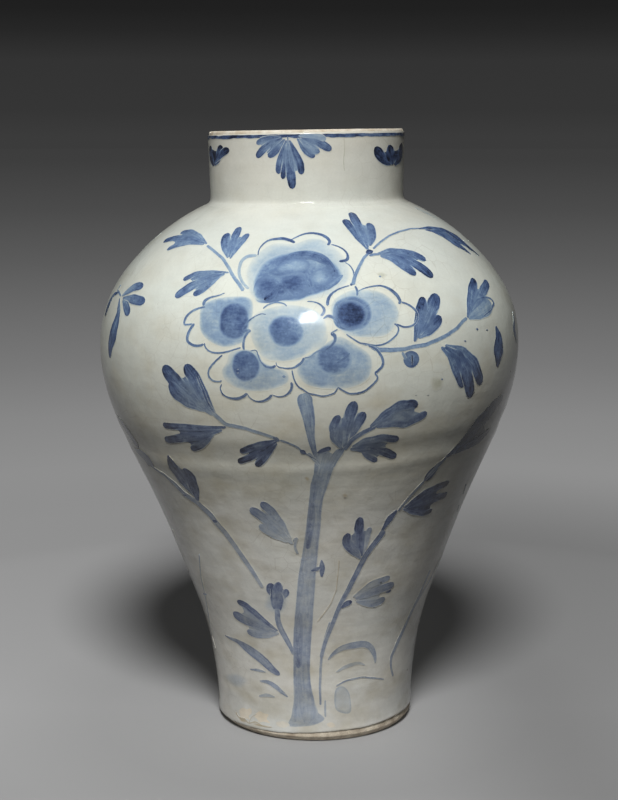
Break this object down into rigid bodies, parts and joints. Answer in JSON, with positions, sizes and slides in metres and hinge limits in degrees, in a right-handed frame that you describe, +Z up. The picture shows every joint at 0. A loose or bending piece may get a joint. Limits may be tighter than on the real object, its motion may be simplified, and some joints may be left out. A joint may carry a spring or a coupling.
{
  "type": "porcelain storage jar",
  "caption": "Tall high-shouldered porcelain jar with an upright open neck and a turned foot ring, glazed and painted in underglaze blue with flowering branches.",
  "frame": {"origin": "centre of the foot ring, on the plane that it stands on", "axes": "+Z up, towards the mouth; the jar leans 0.9 degrees towards -X; the painted front faces -Y"},
  "size_m": [0.316, 0.316, 0.451],
  "materials": {
    "clay": "fired porcelain clay, bare and slightly gritty",
    "slip": "fired slip, bare",
    "glaze": "grey-white clear glaze with blue painting under it, glossy"
  },
  "bodies": {
    "root": {"lower_body": "clay", "belly_luting": "slip", "upper_body": "clay", "neck_luting": "slip", "collar": "clay", "outer_glaze": "glaze", "inner_glaze": "glaze", "base_glaze": "glaze"}
  },
  "joints": []
}
